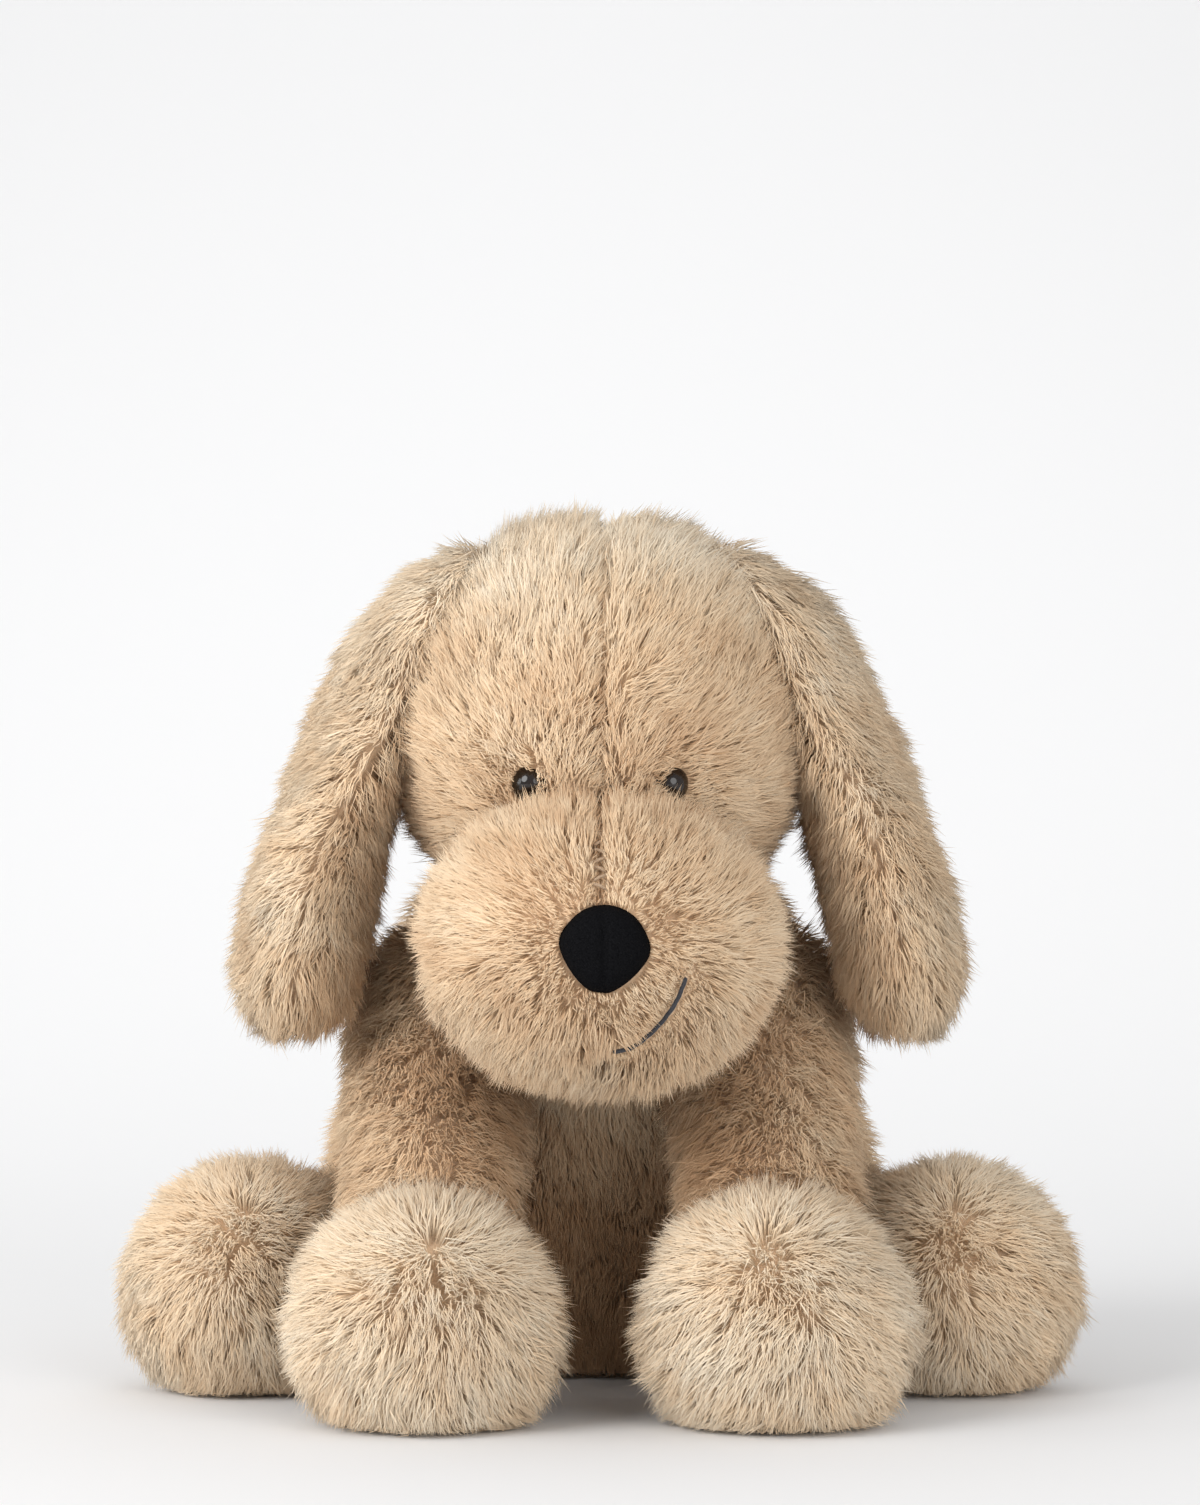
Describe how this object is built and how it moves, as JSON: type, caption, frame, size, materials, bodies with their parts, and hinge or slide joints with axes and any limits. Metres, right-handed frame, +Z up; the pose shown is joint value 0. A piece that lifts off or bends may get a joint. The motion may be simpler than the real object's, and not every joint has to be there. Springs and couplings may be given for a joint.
{
  "type": "plush dog",
  "caption": "Sitting soft toy dog in long beige faux fur with floppy ears, round muzzle and movable sewn limbs.",
  "frame": {"origin": "middle of the flat seat base, on the floor", "axes": "+Z up, -Y the way the dog faces, +X the dog's own left"},
  "size_m": [0.264, 0.2871, 0.242],
  "materials": {
    "fur_fabric": "long soft pile",
    "stuffing": "loose white fibre",
    "bean_bag": "plain woven bag",
    "nose_fabric": "matt velvet",
    "thread": "twisted thread",
    "eye_plastic": "polished",
    "washer_plastic": "plain"
  },
  "bodies": {
    "torso": {"torso_seat_panel": "fur_fabric", "torso_chest_panel": "fur_fabric", "torso_side_left": "fur_fabric", "torso_side_right": "fur_fabric", "seat_bean_bag": "bean_bag", "torso_stuffing": "stuffing"},
    "neck": {"neck_gusset": "fur_fabric", "neck_stuffing": "stuffing"},
    "head": {"head_face_left": "fur_fabric", "head_face_right": "fur_fabric", "head_back_panel": "fur_fabric", "head_stuffing": "stuffing", "muzzle_panel_left": "fur_fabric", "muzzle_panel_right": "fur_fabric", "muzzle_stuffing": "stuffing", "eye_left": "eye_plastic", "eye_right": "eye_plastic", "eye_washers": "washer_plastic", "nose_pad": "nose_fabric", "mouth_stitching": "thread"},
    "left_ear": {"ear_left_outer": "fur_fabric", "ear_left_lining": "fur_fabric", "ear_left_stuffing": "stuffing"},
    "right_ear": {"ear_right_outer": "fur_fabric", "ear_right_lining": "fur_fabric", "ear_right_stuffing": "stuffing"},
    "front_left_leg": {"front_leg_left_tube": "fur_fabric", "front_leg_left_paw_cover": "fur_fabric", "front_leg_left_paw_sole": "fur_fabric", "front_leg_left_paw_bean_bag": "bean_bag", "front_leg_left_stuffing": "stuffing"},
    "front_right_leg": {"front_leg_right_tube": "fur_fabric", "front_leg_right_paw_cover": "fur_fabric", "front_leg_right_paw_sole": "fur_fabric", "front_leg_right_paw_bean_bag": "bean_bag", "front_leg_right_stuffing": "stuffing"},
    "rear_left_leg": {"rear_leg_left_tube": "fur_fabric", "rear_leg_left_paw_cover": "fur_fabric", "rear_leg_left_paw_sole": "fur_fabric", "rear_leg_left_paw_bean_bag": "bean_bag", "rear_leg_left_stuffing": "stuffing"},
    "rear_right_leg": {"rear_leg_right_tube": "fur_fabric", "rear_leg_right_paw_cover": "fur_fabric", "rear_leg_right_paw_sole": "fur_fabric", "rear_leg_right_paw_bean_bag": "bean_bag", "rear_leg_right_stuffing": "stuffing"},
    "tail": {"tail_cover": "fur_fabric", "tail_stuffing": "stuffing"}
  },
  "joints": [
    {"name": "neck_turn", "type": "hinge", "parent": "torso", "child": "neck", "pos_m": [0, -0.058, 0.148], "axis": [0, 0, 1], "range_deg": [-20, 20], "stiffness_Nm_per_rad": 0.6},
    {"name": "head_nod", "type": "hinge", "parent": "neck", "child": "head", "pos_m": [0, -0.058, 0.148], "axis": [-1, 0, 0], "range_deg": [-12, 18], "stiffness_Nm_per_rad": 1.2},
    {"name": "left_ear_lift", "type": "hinge", "parent": "head", "child": "left_ear", "pos_m": [0.052, -0.09, 0.224], "axis": [0, -1, 0], "range_deg": [-3, 55], "stiffness_Nm_per_rad": 0.08},
    {"name": "right_ear_lift", "type": "hinge", "parent": "head", "child": "right_ear", "pos_m": [-0.052, -0.09, 0.224], "axis": [0, 1, 0], "range_deg": [-3, 55], "stiffness_Nm_per_rad": 0.08},
    {"name": "front_left_leg_lift", "type": "hinge", "parent": "torso", "child": "front_left_leg", "pos_m": [0.046, -0.058, 0.108], "axis": [-1, 0, 0], "range_deg": [-5, 25], "stiffness_Nm_per_rad": 0.5},
    {"name": "front_right_leg_lift", "type": "hinge", "parent": "torso", "child": "front_right_leg", "pos_m": [-0.046, -0.058, 0.108], "axis": [-1, 0, 0], "range_deg": [-5, 25], "stiffness_Nm_per_rad": 0.5},
    {"name": "rear_left_leg_splay", "type": "hinge", "parent": "torso", "child": "rear_left_leg", "pos_m": [0.068, -0.008, 0.029], "axis": [0, 0, 1], "range_deg": [-8, 25], "stiffness_Nm_per_rad": 0.5},
    {"name": "rear_right_leg_splay", "type": "hinge", "parent": "torso", "child": "rear_right_leg", "pos_m": [-0.068, -0.008, 0.029], "axis": [0, 0, -1], "range_deg": [-8, 25], "stiffness_Nm_per_rad": 0.5},
    {"name": "tail_wag", "type": "hinge", "parent": "torso", "child": "tail", "pos_m": [0, 0.072, 0.024], "axis": [0, 0, 1], "range_deg": [-25, 25], "stiffness_Nm_per_rad": 0.1}
  ]
}
